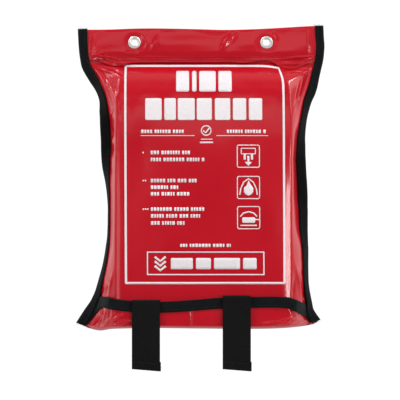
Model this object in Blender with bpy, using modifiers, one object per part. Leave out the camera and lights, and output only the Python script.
"""Fire blanket in a soft wall pouch: a folded glass-cloth blanket, the PVC pouch that holds it and
the two webbing tabs that pull it out. Metres, +Z up, front towards -Y, wall at Y = 0.
The origin is on the wall, midway between the two hanging eyelets."""

import math

import bmesh
import bpy
import numpy as np
from mathutils import Vector

# Driving dimensions -----------------------------------------------------------------------------
TOP = 0.015  # folded top edge of the header, above the eyelets
FOLD = -0.287  # bottom fold of the pouch
REAR_BOTTOM = FOLD + 0.0005  # lower edge of the rear panel, beside the fold
LIP_BOTTOM = -0.0205  # lower edge of the header's folded-over front
HEADER_BOTTOM = -0.022  # above this the rear panel stands forward, against the header
PANEL_TOP = TOP - 0.003  # upper edge of the front panel, inside the header
HEADER_ROWS = (-0.0157, -0.0186)  # the header's two rows of stitches
PANEL_BOTTOM = -0.262  # free lower edge of the front panel, behind the flap
FLAP_TOP = -0.2585  # bound upper edge of the flap

SHEET = 0.0010  # PVC cloth, as modelled
TAPE = 0.0008  # binding tape
WEBBING = 0.0012  # pull-tab webbing
GAP = 0.0003  # clearance between touching pieces

# The bound side edges, as (height, outer edge) and (height, inner edge of the tape)
LEFT_OUTER = [(0.016, -0.122), (-0.008, -0.1215), (-0.024, -0.116), (-0.055, -0.1005),
              (-0.110, -0.098), (-0.150, -0.0932), (-0.205, -0.0925), (-0.235, -0.097),
              (-0.255, -0.104), (-0.275, -0.116), (-0.288, -0.122)]
LEFT_TAPE = [(0.016, 0.010), (-0.060, 0.0085), (-0.110, 0.0065), (-0.150, 0.0047),
             (-0.205, 0.0045), (-0.245, 0.0085), (-0.288, 0.010)]
RIGHT_OUTER = [(0.016, 0.1235), (-0.020, 0.1235), (-0.040, 0.119), (-0.060, 0.1135),
               (-0.080, 0.1085), (-0.110, 0.1065), (-0.160, 0.1075), (-0.245, 0.108),
               (-0.266, 0.113), (-0.288, 0.120)]
RIGHT_TAPE = [(0.016, 0.010), (-0.160, 0.010), (-0.240, 0.0075), (-0.288, 0.0085)]
EDGE_HEIGHTS = [0.016, 0.002, -0.010, -0.022, -0.030, -0.040, -0.050, -0.062, -0.078, -0.098,
                -0.122, -0.150, -0.178, -0.205, -0.225, -0.240, -0.252, -0.262, -0.272, -0.280,
                -0.288]  # where every piece along the side edges has a row of points
EDGE_INSET = 0.0024  # how far the sheets' edges stop short of the tape's fold
REAR_RUN = 0.008  # how far inside the tape the rear panel is back against the wall
BASE_MARGIN = 0.001  # how far inside the tape a swollen sheet leaves its flat edge

# Layers, counted from the wall as the middle of each sheet
REAR_FLAT = -SHEET / 2
REAR_RAISED = -0.0016
PANEL_FLAT = REAR_RAISED - SHEET - GAP
LIP_FLAT = PANEL_FLAT - SHEET - GAP
TAPE_REAR = -TAPE / 2
TAPE_FRONT = -0.0054
TAPE_STITCH = 0.0022  # from the tape's inner edge to its stitches

# The folded blanket
PACK_LEFT, PACK_RIGHT = -0.086, 0.094
PACK_TOP, PACK_BOTTOM = -0.034, -0.2725
PACK_REAR, PACK_FRONT = -0.0015, -0.0285
PACK_EDGE = 0.006  # rounding of its long edges
PACK_TOE = 0.012  # rounding of its lower front and rear edges

# The swell of the front panel over the blanket
SWELL = 0.0266
SWELL_SHARE = [(-0.022, 0.0), (-0.030, 0.17), (-0.040, 0.40), (-0.058, 0.77), (-0.078, 0.95),
               (-0.100, 1.0), (-0.262, 1.0)]
PANEL_CORNER = 0.007
PANEL_CREST = (PACK_LEFT - 0.001, PACK_RIGHT + 0.001)
PANEL_BASE_LIMIT = (-0.0925, 0.097)

# The flap: (height, depth where it is flat at the sides, depth where it is full)
FLAP_ROWS = [(FOLD - 0.0003, -0.0016, -0.0010), (FOLD - 0.0013, -0.0029, -0.0029),
             (FOLD - 0.0002, -0.0042, -0.0048), (-0.2835, -0.0042, -0.0125),
             (-0.2785, -0.0042, -0.0210), (-0.2725, -0.0042, -0.0285),
             (-0.2690, -0.0042, -0.0314), (-0.2650, -0.0042, -0.0332),
             (-0.2630, -0.0042, -0.0335), (FLAP_TOP - 0.0022, -0.0042, -0.0335)]
FLAP_CORNER = 0.010
FLAP_CREST = (PANEL_CREST[0] - 0.004, PANEL_CREST[1] + 0.004)
FLAP_TAPE_DROP = 0.0105  # how far the flap's binding reaches down
FLAP_STITCH_Z = FLAP_TOP - FLAP_TAPE_DROP + 0.004  # its stitches, above its lower edge
FLAP_HINGE = Vector((0.0, -0.0016, FOLD))

# The pull tabs
TAB_WIDTH = 0.028
TAB_CENTRES = {"left": -0.0542, "right": 0.036}
TAB_RISE_Y = -0.03095  # between the front panel and the flap
TAB_HANG_Y = -0.0372  # in front of the flap
TAB_TURN_Z = -0.2601  # centre of the turn over the flap's edge
TAB_ANCHOR_END = -0.2606
TAB_HINGE_Z = -0.2624
TAB_START = -0.2633
TAB_END = -0.3263
TAB_HEM = 0.0075
TAB_HEM_TURN = 0.00075  # radius of the hem's fold
TAB_SEAT = 0.001  # from the blanket's face to the middle of the webbing sewn to it
TAB_FOOT = -0.006  # the rear end of the length sewn under the blanket
HEM_STITCH = 0.0015  # from the hem's upper edge to its stitches

# The zigzag that sews each tab to the blanket
BARTACK_WIDTH = 0.022
BARTACK_ROWS = (-0.008, -0.014)
BARTACK_ZIGS = 8

# The eyelets
EYELET_X = 0.0665
EYELET_BORE = 0.0032
EYELET_FLANGE = 0.00625
EYELET_HOLE = 0.0042  # hole punched in each layer of PVC
EYELET_STEPS = 24
WASHER_BORE, WASHER_RIM = 0.0049, 0.0063
PUNCH_DEPTH = 0.04

THREAD = 0.0004  # radius of the sewing thread
THREAD_LIFT = GAP + THREAD

ARC_STEPS = 4
HARD_EDGE = 50  # degrees, where the folded blanket's shading breaks


# Helpers ----------------------------------------------------------------------------------------
def clear_scene():
    for obj in list(bpy.data.objects):
        bpy.data.objects.remove(obj, do_unlink=True)


def new_collection(name, hidden=False):
    collection = bpy.data.collections.new(name)
    collection.hide_render = hidden
    bpy.context.scene.collection.children.link(collection)
    return collection


def make_material(name, color, roughness, metallic=0.0):
    material = bpy.data.materials.new(name)
    material.use_nodes = True
    shader = material.node_tree.nodes["Principled BSDF"]
    shader.inputs["Base Color"].default_value = (*color, 1.0)
    shader.inputs["Roughness"].default_value = roughness
    shader.inputs["Metallic"].default_value = metallic
    return material


def smooth_through(points, height):
    """The value at a height on a smooth line through (height, value) points."""
    heights, values = np.array(sorted(points)).T
    slopes = np.gradient(values, heights)
    i = int(np.clip(np.searchsorted(heights, height) - 1, 0, len(heights) - 2))
    span = heights[i + 1] - heights[i]
    t = float(np.clip((height - heights[i]) / span, 0.0, 1.0))
    start = (2 * t**3 - 3 * t**2 + 1) * values[i] + (t**3 - 2 * t**2 + t) * span * slopes[i]
    end = (3 * t**2 - 2 * t**3) * values[i + 1] + (t**3 - t**2) * span * slopes[i + 1]
    return float(start + end)


def outer_edges(height):
    return smooth_through(LEFT_OUTER, height), smooth_through(RIGHT_OUTER, height)


def tape_edges(height):
    left, right = outer_edges(height)
    left_tape = smooth_through(LEFT_TAPE, height)
    right_tape = smooth_through(RIGHT_TAPE, height)
    return left + left_tape, right - right_tape


def link(name, data, material, origin, parent):
    obj = bpy.data.objects.new(name, data)
    data.materials.append(material)
    parts.objects.link(obj)
    obj.parent = parent
    obj.location = origin if parent is None else (0.0, 0.0, 0.0)
    return obj


def origin_of(parent):
    return parent.matrix_world.translation.copy() if parent else Vector()


def joint_empty(name, location, parent=None):
    """An empty on a joint's axis, which the moving pieces hang from."""
    empty = bpy.data.objects.new(name, None)
    empty.empty_display_size = 0.02
    parts.objects.link(empty)
    empty.parent = parent
    empty.location = Vector(location) - origin_of(parent)
    bpy.context.view_layer.update()
    return empty


def formed_sheet(name, points, thickness, material, parent=None):
    """Cloth of one thickness through a grid of points: rows of equal length."""
    rows, columns = len(points), len(points[0])
    origin = origin_of(parent)
    grid = bmesh.new()
    bmesh.ops.create_grid(grid, x_segments=columns - 1, y_segments=rows - 1, size=0.5)
    for vertex in grid.verts:
        column = round((vertex.co.x + 0.5) * (columns - 1))
        row = round((vertex.co.y + 0.5) * (rows - 1))
        vertex.co = Vector(points[row][column]) - origin
    mesh = bpy.data.meshes.new(name)
    grid.to_mesh(mesh)
    grid.free()
    mesh.shade_smooth()
    obj = link(name, mesh, material, origin, parent)
    solid = obj.modifiers.new("thickness", "SOLIDIFY")
    solid.thickness = thickness
    solid.offset = 0.0
    solid.use_even_offset = True
    return obj


def thread(name, route, material, parent=None):
    """Sewing thread along a route of points."""
    origin = origin_of(parent)
    curve = bpy.data.curves.new(name, "CURVE")
    curve.dimensions = "3D"
    curve.bevel_depth = THREAD
    curve.bevel_resolution = 2
    curve.use_fill_caps = True
    spline = curve.splines.new("POLY")
    spline.points.add(len(route) - 1)
    for point, place in zip(spline.points, route):
        point.co = (*(Vector(place) - origin), 1.0)
    return link(name, curve, material, origin, parent)


def turned_about_y(name, profile, x, material):
    """A closed (radius, depth) profile turned about the eyelet's axis."""
    mesh = bpy.data.meshes.new(name)
    outline = bmesh.new()
    corners = [outline.verts.new((radius, depth, 0.0)) for radius, depth in profile]
    for first, second in zip(corners, corners[1:] + corners[:1]):
        outline.edges.new((first, second))
    outline.to_mesh(mesh)
    outline.free()
    obj = link(name, mesh, material, Vector((x, 0.0, 0.0)), None)
    turn = obj.modifiers.new("turn", "SCREW")
    turn.axis = "Y"
    turn.steps = EYELET_STEPS
    turn.render_steps = EYELET_STEPS
    turn.use_merge_vertices = True
    turn.merge_threshold = 0.00001
    turn.use_smooth_shade = True
    return obj


def arc(centre, radius, start, end, steps=ARC_STEPS):
    """Points on an arc, with angles in degrees."""
    angles = [math.radians(start + (end - start) * i / steps) for i in range(steps + 1)]
    return [(centre[0] + radius * math.cos(a), centre[1] + radius * math.sin(a)) for a in angles]


def cut_eyelet_holes(obj):
    """Punches the two eyelet holes through every layer of a sheet."""
    for side, x in (("left", -EYELET_X), ("right", EYELET_X)):
        name = f"{side}_punch"
        cutter = bpy.data.objects.get(name)
        if cutter is None:
            mesh = bpy.data.meshes.new(name)
            punch = bmesh.new()
            bmesh.ops.create_cone(punch, cap_ends=True, segments=EYELET_STEPS,
                                  radius1=EYELET_HOLE, radius2=EYELET_HOLE, depth=PUNCH_DEPTH)
            punch.to_mesh(mesh)
            punch.free()
            cutter = bpy.data.objects.new(name, mesh)
            cutter.rotation_euler = (math.pi / 2, 0.0, 0.0)
            cutter.location = (x, 0.0, 0.0)
            cutter.hide_render = True
            cutter.display_type = "WIRE"
            cutters.objects.link(cutter)
        cut = obj.modifiers.new(name, "BOOLEAN")
        cut.operation = "DIFFERENCE"
        cut.object = cutter


def swollen_section(edges, bases, crests, corner, flat, full, share, middle=6):
    """One cross-section at a given height: flat to the bases, up round each crest, and level
    between. Returns (x, y) points from the left edge to the right."""
    rise = full - flat
    radius_y = corner * share
    left_arc = [(crests[0] + corner - corner * math.cos(a), full + radius_y * (1 - math.sin(a)))
                for a in np.linspace(0, math.pi / 2, ARC_STEPS + 1)]
    right_arc = [(crests[1] - corner + corner * math.cos(a), full + radius_y * (1 - math.sin(a)))
                 for a in np.linspace(math.pi / 2, 0, ARC_STEPS + 1)]
    level = [(x, flat + rise) for x in np.linspace(left_arc[-1][0], right_arc[0][0], middle + 1)]
    return ([(edges[0], flat), (bases[0], flat)] + left_arc + level[1:-1] + right_arc
            + [(bases[1], flat), (edges[1], flat)])


# The pouch --------------------------------------------------------------------------------------
def rear_sheet():
    """One sheet: flat rear, folded over at the top, and down the front as the header's lip."""
    turn = (REAR_RAISED - LIP_FLAT) / 2
    fold = arc(((REAR_RAISED + LIP_FLAT) / 2, TOP - SHEET / 2 - turn), turn, 0, 180)
    heights = [REAR_BOTTOM] + [z for z in EDGE_HEIGHTS[::-1] if REAR_BOTTOM < z < TOP]
    points = []
    for z in heights:
        header = float(z > HEADER_BOTTOM - GAP)
        left, right = outer_edges(z)
        inner_left, inner_right = tape_edges(z)
        flat = [inner_left + REAR_RUN, inner_right - REAR_RUN]
        across = ([(left + EDGE_INSET, 1.0), (inner_left + GAP, 1.0), (flat[0], 0.0)]
                  + [(x, 0.0) for x in np.linspace(flat[0], flat[1], 6)[1:-1]]
                  + [(flat[1], 0.0), (inner_right - GAP, 1.0), (right - EDGE_INSET, 1.0)])
        rise = REAR_RAISED - REAR_FLAT
        points.append([(x, REAR_FLAT + rise * max(header, edge), z) for x, edge in across])
    front = [z for z in EDGE_HEIGHTS if LIP_BOTTOM < z < TOP] + [LIP_BOTTOM]
    for y, z in fold + [(LIP_FLAT, z) for z in front]:
        left, right = outer_edges(z)
        across = np.linspace(left + EDGE_INSET, right - EDGE_INSET, len(points[0]))
        points.append([(x, y, z) for x in across])
    sheet = formed_sheet("rear_sheet", points, SHEET, red_pvc)
    cut_eyelet_holes(sheet)


def front_panel():
    """The swollen front, open at its lower edge."""
    heights = [PANEL_TOP] + [z for z in EDGE_HEIGHTS[1:] if z >= PANEL_BOTTOM]
    points = []
    for z in heights:
        left, right = outer_edges(z)
        inner_left, inner_right = tape_edges(z)
        share = max(0.0, smooth_through(SWELL_SHARE, z)) if z < HEADER_BOTTOM else 0.0
        bases = (max(inner_left + BASE_MARGIN, PANEL_BASE_LIMIT[0]),
                 min(inner_right - BASE_MARGIN, PANEL_BASE_LIMIT[1]))
        section = swollen_section((left + EDGE_INSET, right - EDGE_INSET), bases, PANEL_CREST,
                                  PANEL_CORNER, PANEL_FLAT, PANEL_FLAT - SWELL * share, share)
        points.append([(x, y, z) for x, y in section])
    panel = formed_sheet("front_panel", points, SHEET, red_pvc)
    cut_eyelet_holes(panel)


def side_binding(side):
    """Tape folded round the stacked side edges of the pouch."""
    index, inward = (0, 1) if side == "left" else (1, -1)
    turn = (TAPE_REAR - TAPE_FRONT) / 2
    middle = (TAPE_REAR + TAPE_FRONT) / 2
    points = []
    for z in EDGE_HEIGHTS:
        outer, inner = outer_edges(z)[index], tape_edges(z)[index]
        centre = outer + inward * (turn + TAPE / 2)
        bend = [(centre - inward * turn * math.sin(a), middle + turn * math.cos(a))
                for a in np.linspace(0, math.pi, 2 * ARC_STEPS + 1)]
        section = [(inner, TAPE_REAR)] + bend + [(inner, TAPE_FRONT)]
        points.append([(x, y, z) for x, y in section])
    formed_sheet(f"{side}_side_binding", points, TAPE, black_tape)


def side_binding_stitching(side):
    """The thread that holds a side binding, near the tape's inner edge."""
    index, inward = (0, 1) if side == "left" else (1, -1)
    y = TAPE_FRONT - TAPE / 2 - THREAD_LIFT
    route = [(tape_edges(z)[index] - inward * TAPE_STITCH, y, z) for z in EDGE_HEIGHTS[1:-1]]
    thread(f"{side}_binding_stitching", route, black_thread)


def header_stitching():
    """Two rows of one thread across the header, turned at the right."""
    y = LIP_FLAT - SHEET / 2 - THREAD_LIFT
    upper, lower = HEADER_ROWS
    left, right = tape_edges(lower)
    left, right = left + 0.002, right - 0.004
    turn = arc((right, (upper + lower) / 2), (upper - lower) / 2, 90, -90)
    across = np.linspace(left, right, 7)
    route = [(x, y, upper) for x in across[:-1]]
    route += [(x, y, z) for x, z in turn]
    route += [(x, y, lower) for x in across[-2::-1]]
    thread("header_stitching", route, red_thread)


def eyelet(side, x):
    """The front half: flange, barrel and the rolled end that grips the washer."""
    front = LIP_FLAT - SHEET / 2 - GAP
    profile = [(0.0039, front), (EYELET_FLANGE, front), (EYELET_FLANGE, front - 0.00035),
               (0.0055, front - 0.00095), (0.0042, front - 0.00095), (0.0035, front - 0.0007),
               (EYELET_BORE, front - 0.0002), (EYELET_BORE, -0.0008), (0.00335, -0.0003),
               (0.0038, -0.00005), (0.0043, -0.00005), (0.0046, -0.0003), (0.00455, -0.00075),
               (0.0041, -0.00095), (0.0039, -0.0014)]
    turned_about_y(f"{side}_eyelet", profile, x, nickel)


def eyelet_washer(side, x):
    """The ring behind the header that the eyelet's barrel is rolled over."""
    rear = REAR_RAISED + SHEET / 2 + GAP
    profile = [(WASHER_BORE, rear + 0.0006), (WASHER_RIM - 0.0003, rear + 0.0006),
               (WASHER_RIM, rear + 0.0004), (WASHER_RIM, rear), (WASHER_BORE, rear)]
    turned_about_y(f"{side}_eyelet_washer", profile, x, nickel)


# The flap ---------------------------------------------------------------------------------------
def flap_section(z, flat, full):
    left, right = outer_edges(z)
    inner_left, inner_right = tape_edges(z)
    share = (full - flat) / (FLAP_ROWS[-1][2] - FLAP_ROWS[-1][1])
    return swollen_section((left + EDGE_INSET, right - EDGE_INSET),
                           (inner_left + BASE_MARGIN, inner_right - BASE_MARGIN), FLAP_CREST,
                           FLAP_CORNER,
                           flat, full, max(share, 0.0))


def bottom_flap():
    """The rear sheet's lower end, turned up in front of the panel's free edge."""
    points = [[(x, y, z) for x, y in flap_section(z, flat, full)] for z, flat, full in FLAP_ROWS]
    formed_sheet("bottom_flap", points, SHEET, red_pvc, flap_joint)


def flap_line(z):
    """The part of the flap's section that stands clear of the side bindings, as points with
    their outward directions."""
    heights, _, depths = zip(*FLAP_ROWS[2:])
    full = float(np.interp(z, heights, depths))
    section = [Vector(point) for point in flap_section(z, FLAP_ROWS[-1][1], full)]
    found = []
    for before, here, after in zip(section[1:-3], section[2:-2], section[3:-1]):
        along = (after - before).normalized()
        found.append((here, Vector((along.y, -along.x))))
    return found


def flap_binding_section():
    """The tape's section over the flap's edge, as (height, distance out from the flap)."""
    out = SHEET / 2 + GAP + TAPE / 2
    crown = FLAP_TOP - TAPE / 2 - out
    over = [(crown + out * math.sin(a), out * math.cos(a))
            for a in np.linspace(0, math.pi, 2 * ARC_STEPS + 1)]
    bottom = FLAP_TOP - FLAP_TAPE_DROP
    leg = [row[0] for row in FLAP_ROWS[2:] if bottom <= row[0] < crown]
    return [(z, out) for z in leg] + over + [(z, -out) for z in leg[::-1]]


def flap_binding():
    """Tape folded over the flap's upper edge."""
    points = []
    for z, out in flap_binding_section():
        points.append([(p.x + n.x * out, p.y + n.y * out, z) for p, n in flap_line(z)])
    formed_sheet("flap_binding", points, TAPE, black_tape, flap_joint)


def flap_binding_stitching():
    """The thread along the lower part of the flap's binding."""
    z = FLAP_STITCH_Z
    out = SHEET / 2 + GAP + TAPE + THREAD_LIFT
    route = [(p.x + n.x * out, p.y + n.y * out, z) for p, n in flap_line(z)]
    thread("flap_binding_stitching", route, black_thread, flap_joint)


# The blanket and its tabs -----------------------------------------------------------------------
def rounded_ring(left, right, rear, front, radius):
    """A rounded rectangle seen from above, as (x, y) points."""
    corners = [((right - radius, rear - radius), 0), ((left + radius, rear - radius), 90),
               ((left + radius, front + radius), 180), ((right - radius, front + radius), 270)]
    ring = []
    for centre, start in corners:
        ring += arc(centre, radius, start, start + 90)
    return ring


def folded_blanket():
    """The blanket as it is packed: a loft that thins at its top, where the pouch closes in."""
    rings = []
    for i in range(ARC_STEPS + 1):
        angle = math.pi / 2 * i / ARC_STEPS
        inset = PACK_TOE * (1 - math.sin(angle))
        z = PACK_BOTTOM + PACK_TOE * (1 - math.cos(angle))
        rings.append((z, PACK_REAR - inset, PACK_FRONT + inset, inset * 0.5))
    clearance = SHEET / 2 + 0.0007
    for z in [height for height in EDGE_HEIGHTS[::-1] if -0.130 < height < PACK_TOP] + [PACK_TOP]:
        panel = PANEL_FLAT - SWELL * smooth_through(SWELL_SHARE, z)
        rings.append((z, PACK_REAR, max(panel + clearance, PACK_FRONT), 0.0))
    solid = bmesh.new()
    origin = origin_of(blanket_joint)
    loops = []
    for z, rear, front, inset in rings:
        radius = min(PACK_EDGE, (rear - front) * 0.4)
        ring = rounded_ring(PACK_LEFT + inset, PACK_RIGHT - inset, rear, front, radius)
        loops.append([solid.verts.new(Vector((x, y, z)) - origin) for x, y in ring])
    for lower, upper in zip(loops, loops[1:]):
        for i in range(len(lower)):
            j = (i + 1) % len(lower)
            solid.faces.new((lower[i], lower[j], upper[j], upper[i]))
    solid.faces.new(loops[0][::-1])
    solid.faces.new(loops[-1])
    mesh = bpy.data.meshes.new("folded_blanket")
    solid.to_mesh(mesh)
    solid.free()
    mesh.shade_smooth()
    mesh.set_sharp_from_angle(angle=math.radians(HARD_EDGE))
    link("folded_blanket", mesh, glass_cloth, origin, blanket_joint)


def strap(name, route, centre, parent):
    """Webbing of the tab's width along a (depth, height) route."""
    across = [centre - TAB_WIDTH / 2, centre, centre + TAB_WIDTH / 2]
    points = [[(x, y, z) for x in across] for y, z in route]
    formed_sheet(name, points, WEBBING, webbing, parent)


def tab_anchor(side, centre):
    """The inner length of a tab: sewn under the blanket, up behind the flap and over its edge."""
    middle = (PACK_FRONT + PACK_TOE, PACK_BOTTOM + PACK_TOE)
    under = arc(middle, PACK_TOE + TAB_SEAT, 270, 210)
    rise = [(-0.0306, -0.2634), (TAB_RISE_Y, -0.2618)]
    turn_y = (TAB_RISE_Y + TAB_HANG_Y) / 2
    turn = arc((turn_y, TAB_TURN_Z), (TAB_RISE_Y - TAB_HANG_Y) / 2, 0, 180, 8)
    foot = [(TAB_FOOT, PACK_BOTTOM - TAB_SEAT)]
    route = foot + under + rise + turn + [(TAB_HANG_Y, TAB_ANCHOR_END)]
    strap(f"{side}_tab_anchor", route, centre, blanket_joint)


def tab_bartack(side, centre):
    """The zigzag that sews a tab to the blanket."""
    z = PACK_BOTTOM - TAB_SEAT - WEBBING / 2 - THREAD_LIFT
    across = np.linspace(centre - BARTACK_WIDTH / 2, centre + BARTACK_WIDTH / 2, BARTACK_ZIGS + 1)
    route = [(x, BARTACK_ROWS[i % 2], z) for i, x in enumerate(across)]
    thread(f"{side}_tab_bartack", route, black_thread, blanket_joint)


def pull_tab(side, centre, parent):
    """The hanging length of a tab, with its end turned back behind it."""
    hem = arc((TAB_HANG_Y + TAB_HEM_TURN, TAB_END), TAB_HEM_TURN, 180, 360)
    route = ([(TAB_HANG_Y, TAB_START), (TAB_HANG_Y, -0.285), (TAB_HANG_Y, -0.306)] + hem
             + [(TAB_HANG_Y + 2 * TAB_HEM_TURN, TAB_END + TAB_HEM)])
    strap(f"{side}_pull_tab", route, centre, parent)


def tab_hem_stitching(side, centre, parent):
    """The thread across a tab's hem."""
    y = TAB_HANG_Y - WEBBING / 2 - THREAD_LIFT
    z = TAB_END + TAB_HEM - HEM_STITCH
    reach = TAB_WIDTH / 2 - HEM_STITCH
    route = [(centre + x, y, z) for x in np.linspace(-reach, reach, 5)]
    thread(f"{side}_tab_hem_stitching", route, black_thread, parent)


# Build ------------------------------------------------------------------------------------------
clear_scene()
parts = new_collection("fire_blanket")
cutters = new_collection("cutters", hidden=True)

red_pvc = make_material("red_pvc", (0.56, 0.010, 0.020), 0.28)
black_tape = make_material("black_tape", (0.010, 0.011, 0.012), 0.75)
webbing = make_material("webbing", (0.010, 0.009, 0.010), 0.85)
nickel = make_material("nickel", (0.80, 0.79, 0.77), 0.22, metallic=1.0)
glass_cloth = make_material("glass_cloth", (0.80, 0.79, 0.74), 0.60)
red_thread = make_material("red_thread", (0.42, 0.008, 0.015), 0.60)
black_thread = make_material("black_thread", (0.012, 0.012, 0.013), 0.60)

blanket_joint = joint_empty(
    "blanket_slide", ((PACK_LEFT + PACK_RIGHT) / 2, (PACK_REAR + PACK_FRONT) / 2, PACK_BOTTOM))
flap_joint = joint_empty("flap_hinge", FLAP_HINGE)

rear_sheet()
front_panel()
header_stitching()
for side in ("left", "right"):
    side_binding(side)
    side_binding_stitching(side)
    eyelet_x = -EYELET_X if side == "left" else EYELET_X
    eyelet(side, eyelet_x)
    eyelet_washer(side, eyelet_x)

bottom_flap()
flap_binding()
flap_binding_stitching()

folded_blanket()
for side, centre in TAB_CENTRES.items():
    tab_anchor(side, centre)
    tab_bartack(side, centre)
    tab_joint = joint_empty(
        f"{side}_tab_hinge", (centre, TAB_HANG_Y, TAB_HINGE_Z), blanket_joint)
    pull_tab(side, centre, tab_joint)
    tab_hem_stitching(side, centre, tab_joint)
